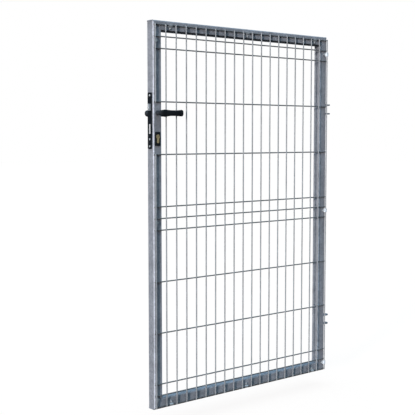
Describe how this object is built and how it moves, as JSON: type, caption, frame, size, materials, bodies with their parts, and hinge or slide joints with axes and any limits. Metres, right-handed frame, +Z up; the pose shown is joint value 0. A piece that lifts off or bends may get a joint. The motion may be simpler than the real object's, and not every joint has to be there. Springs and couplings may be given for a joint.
{
  "type": "metal fence gate leaf",
  "caption": "Garden gate leaf: square steel tube frame with a welded wire mesh, insert lock with lever handles, profile cylinder, and hinge lugs.",
  "frame": {"origin": "on the underside of the lug that carries the leaf at the lower hinge, between the stile and the pin hole", "axes": "+X from the lock side to the hinge side, +Y from the front with the mesh to the rear, +Z up along the stiles"},
  "size_m": [1.0158, 0.1118, 1.494],
  "materials": {
    "galvanised_tube": "hot-dip galvanised, dull grey with a fine spangle",
    "mesh_wire": "galvanised wire, a little lighter than the tube",
    "clip_steel": "zinc-plated pressed strip",
    "lock_steel": "zinc-plated steel, satin",
    "black_forend": "black powder coat, satin",
    "black_plastic": "black moulded plastic, satin",
    "cylinder_brass": "dull brass",
    "hinge_lug_steel": "galvanised flat bar, dark grey"
  },
  "bodies": {
    "leaf": {"top_rail": "galvanised_tube", "bottom_rail": "galvanised_tube", "lock_stile": "galvanised_tube", "hinge_stile": "galvanised_tube", "mesh_panel": "mesh_wire", "top_clip_lock": "clip_steel", "top_clip_middle": "clip_steel", "top_clip_hinge": "clip_steel", "bottom_clip_lock": "clip_steel", "bottom_clip_middle": "clip_steel", "bottom_clip_hinge": "clip_steel", "lock_clip_low": "clip_steel", "lock_clip_middle": "clip_steel", "lock_clip_high": "clip_steel", "hinge_clip_low": "clip_steel", "hinge_clip_middle": "clip_steel", "hinge_clip_high": "clip_steel", "lock_forend": "black_forend", "lock_case": "lock_steel", "cylinder_body": "cylinder_brass", "cylinder_plug_rear": "cylinder_brass", "cylinder_plate_front": "black_plastic", "cylinder_plate_rear": "black_plastic", "lower_hinge_lug_above": "hinge_lug_steel", "lower_hinge_lug_below": "hinge_lug_steel", "upper_hinge_lug_above": "hinge_lug_steel", "upper_hinge_lug_below": "hinge_lug_steel"},
    "handle": {"lever_front": "black_plastic", "lever_rear": "black_plastic", "handle_spindle": "lock_steel"},
    "latch": {"latch_bolt": "lock_steel"},
    "bolt": {"dead_bolt": "lock_steel"},
    "key_plug": {"cylinder_plug_front": "cylinder_brass"}
  },
  "joints": [
    {"name": "handle_turn", "type": "hinge", "parent": "leaf", "child": "handle", "pos_m": [-0.953, 0, 0.901], "axis": [0, 1, 0], "range_deg": [0, 40], "stiffness_Nm_per_rad": 0.4, "springref_deg": -22.92},
    {"name": "latch_slide", "type": "slide", "parent": "leaf", "child": "latch", "axis": [1, 0, 0], "range_m": [0, 0.012]},
    {"name": "dead_bolt_slide", "type": "slide", "parent": "leaf", "child": "bolt", "axis": [-1, 0, 0], "range_m": [0, 0.02]},
    {"name": "key_plug_turn", "type": "hinge", "parent": "leaf", "child": "key_plug", "pos_m": [-0.953, -0.0258, 0.811], "axis": [0, -1, 0], "range_deg": [0, 360]}
  ],
  "couplings": [
    {"joint": "latch_slide", "follows": "handle_turn", "m_per_rad": 0.01718},
    {"joint": "key_plug_turn", "follows": "dead_bolt_slide", "rad_per_m": 314.1}
  ]
}
